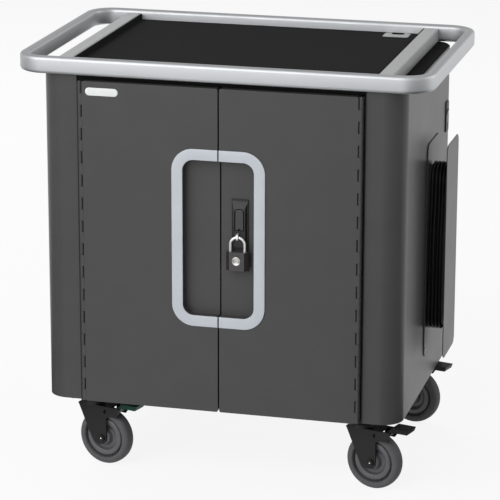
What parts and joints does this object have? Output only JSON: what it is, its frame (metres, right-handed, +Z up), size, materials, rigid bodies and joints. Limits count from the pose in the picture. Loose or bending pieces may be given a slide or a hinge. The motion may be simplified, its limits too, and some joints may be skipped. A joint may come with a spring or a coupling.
{
  "type": "laptop charging cart",
  "caption": "Wheeled steel cabinet with two hinged doors and a padlocked latch, divided device bays, a railed work top with push handles, and a mains cord wound on its side.",
  "frame": {"origin": "on the floor under the middle of the top rail", "axes": "+X to the viewer's right, +Y from the doors to the back, +Z up"},
  "size_m": [0.902, 0.572, 0.92],
  "materials": {
    "charcoal_paint": "satin powder coat",
    "rail_paint": "metallic silver-grey coat",
    "bar_paint": "satin light grey coat",
    "board_black": "matt laminate",
    "ring_paint": "satin pale grey coat",
    "black_steel": "semi-gloss black coat",
    "bright_steel": "polished",
    "rod_metal": "drawn bar",
    "lock_body": "dark grey coat",
    "cord_black": "matt sheath",
    "divider_grey": "moulded, fine texture",
    "tread_grey": "solid tread",
    "hub_grey": "moulded",
    "black_plastic": "fine texture",
    "pedal_green": "moulded",
    "pedal_black": "moulded",
    "rocker_red": "moulded"
  },
  "bodies": {
    "cart": {"base_pan": "charcoal_paint", "left_side_panel": "charcoal_paint", "right_side_panel": "charcoal_paint", "rear_panel": "charcoal_paint", "cabinet_top": "board_black", "work_top": "board_black", "top_rail": "rail_paint", "left_cross_bar": "bar_paint", "right_cross_bar": "bar_paint", "cable_grommet": "bar_paint", "middle_shelf": "charcoal_paint", "lower_dividers": "divider_grey", "upper_dividers": "divider_grey", "lower_outlet_strip": "black_plastic", "upper_outlet_strip": "black_plastic", "left_jamb_hinge_leaf": "charcoal_paint", "right_jamb_hinge_leaf": "charcoal_paint", "left_hinge_pin": "bright_steel", "right_hinge_pin": "bright_steel", "cord_wrap_inner": "charcoal_paint", "cord_wrap_outer": "charcoal_paint", "cord_gland": "black_plastic", "power_cord": "cord_black", "mains_plug": "cord_black", "switch_bezel": "black_plastic", "front_left_caster_plate": "black_steel", "front_right_caster_plate": "black_steel", "rear_left_caster_plate": "black_steel", "rear_right_caster_plate": "black_steel"},
    "left_door": {"left_door": "charcoal_paint", "left_door_hinge_leaf": "charcoal_paint", "left_handle_ring": "ring_paint"},
    "right_door": {"right_door": "charcoal_paint", "right_door_hinge_leaf": "charcoal_paint", "right_handle_ring": "ring_paint", "latch_housing": "black_steel", "padlock_staple": "bright_steel"},
    "latch_lever": {"latch_lever": "black_steel"},
    "upper_lock_rod": {"upper_lock_rod": "rod_metal"},
    "lower_lock_rod": {"lower_lock_rod": "rod_metal"},
    "padlock_shackle": {"padlock_shackle": "bright_steel"},
    "padlock_body": {"padlock_body": "lock_body"},
    "power_rocker": {"power_rocker": "rocker_red"},
    "front_left_fork": {"front_left_caster_fork": "black_steel"},
    "front_left_wheel": {"front_left_caster_hub": "hub_grey", "front_left_caster_tyre": "tread_grey"},
    "front_left_pedal": {"front_left_caster_pedal": "pedal_green"},
    "front_right_fork": {"front_right_caster_fork": "black_steel"},
    "front_right_wheel": {"front_right_caster_hub": "hub_grey", "front_right_caster_tyre": "tread_grey"},
    "front_right_pedal": {"front_right_caster_pedal": "pedal_black"},
    "rear_left_fork": {"rear_left_caster_fork": "black_steel"},
    "rear_left_wheel": {"rear_left_caster_hub": "hub_grey", "rear_left_caster_tyre": "tread_grey"},
    "rear_left_pedal": {"rear_left_caster_pedal": "pedal_black"},
    "rear_right_fork": {"rear_right_caster_fork": "black_steel"},
    "rear_right_wheel": {"rear_right_caster_hub": "hub_grey", "rear_right_caster_tyre": "tread_grey"},
    "rear_right_pedal": {"rear_right_caster_pedal": "pedal_black"}
  },
  "joints": [
    {"name": "left_door_hinge", "type": "hinge", "parent": "cart", "child": "left_door", "pos_m": [-0.3047, -0.2785, 0.515], "axis": [0, 0, -1], "range_deg": [0, 175]},
    {"name": "right_door_hinge", "type": "hinge", "parent": "cart", "child": "right_door", "pos_m": [0.3047, -0.2785, 0.515], "axis": [0, 0, 1], "range_deg": [0, 175]},
    {"name": "latch_lift", "type": "hinge", "parent": "right_door", "child": "latch_lever", "pos_m": [0.043, -0.2688, 0.6078], "axis": [-1, 0, 0], "range_deg": [0, 25]},
    {"name": "upper_rod_slide", "type": "slide", "parent": "right_door", "child": "upper_lock_rod", "axis": [0, 0, -1], "range_m": [0, 0.012]},
    {"name": "lower_rod_slide", "type": "slide", "parent": "right_door", "child": "lower_lock_rod", "axis": [0, 0, 1], "range_m": [0, 0.012]},
    {"name": "padlock_swing", "type": "hinge", "parent": "right_door", "child": "padlock_shackle", "pos_m": [0.0405, -0.275, 0.551], "axis": [-1, 0, 0], "range_deg": [0, 60]},
    {"name": "padlock_release", "type": "slide", "parent": "padlock_shackle", "child": "padlock_body", "axis": [0, 0, -1], "range_m": [0, 0.012]},
    {"name": "power_switch", "type": "hinge", "parent": "cart", "child": "power_rocker", "pos_m": [0.3947, 0.212, 0.726], "axis": [0, -1, 0], "range_deg": [0, 14]},
    {"name": "front_left_swivel", "type": "hinge", "parent": "cart", "child": "front_left_fork", "pos_m": [-0.302, -0.22, 0.145], "axis": [0, 0, 1], "continuous": true},
    {"name": "front_left_spin", "type": "hinge", "parent": "front_left_fork", "child": "front_left_wheel", "pos_m": [-0.26916, -0.2288, 0.06296], "axis": [0.2588, 0.9659, 0], "continuous": true},
    {"name": "front_left_brake", "type": "hinge", "parent": "front_left_fork", "child": "front_left_pedal", "pos_m": [-0.23728, -0.23734, 0.128], "axis": [0.2588, 0.9659, 0], "range_deg": [0, 8]},
    {"name": "front_right_swivel", "type": "hinge", "parent": "cart", "child": "front_right_fork", "pos_m": [0.302, -0.22, 0.145], "axis": [0, 0, 1], "continuous": true},
    {"name": "front_right_spin", "type": "hinge", "parent": "front_right_fork", "child": "front_right_wheel", "pos_m": [0.33484, -0.2288, 0.06296], "axis": [0.2588, 0.9659, 0], "continuous": true},
    {"name": "front_right_brake", "type": "hinge", "parent": "front_right_fork", "child": "front_right_pedal", "pos_m": [0.36672, -0.23734, 0.128], "axis": [0.2588, 0.9659, 0], "range_deg": [0, 8]},
    {"name": "rear_left_swivel", "type": "hinge", "parent": "cart", "child": "rear_left_fork", "pos_m": [-0.302, 0.22, 0.145], "axis": [0, 0, 1], "continuous": true},
    {"name": "rear_left_spin", "type": "hinge", "parent": "rear_left_fork", "child": "rear_left_wheel", "pos_m": [-0.26916, 0.2112, 0.06296], "axis": [0.2588, 0.9659, 0], "continuous": true},
    {"name": "rear_left_brake", "type": "hinge", "parent": "rear_left_fork", "child": "rear_left_pedal", "pos_m": [-0.23728, 0.20266, 0.128], "axis": [0.2588, 0.9659, 0], "range_deg": [0, 8]},
    {"name": "rear_right_swivel", "type": "hinge", "parent": "cart", "child": "rear_right_fork", "pos_m": [0.302, 0.22, 0.145], "axis": [0, 0, 1], "continuous": true},
    {"name": "rear_right_spin", "type": "hinge", "parent": "rear_right_fork", "child": "rear_right_wheel", "pos_m": [0.33484, 0.2112, 0.06296], "axis": [0.2588, 0.9659, 0], "continuous": true},
    {"name": "rear_right_brake", "type": "hinge", "parent": "rear_right_fork", "child": "rear_right_pedal", "pos_m": [0.36672, 0.20266, 0.128], "axis": [0.2588, 0.9659, 0], "range_deg": [0, 8]}
  ],
  "couplings": [
    {"joint": "upper_rod_slide", "follows": "latch_lift", "m_per_rad": 0.027273},
    {"joint": "lower_rod_slide", "follows": "latch_lift", "m_per_rad": 0.027273}
  ]
}
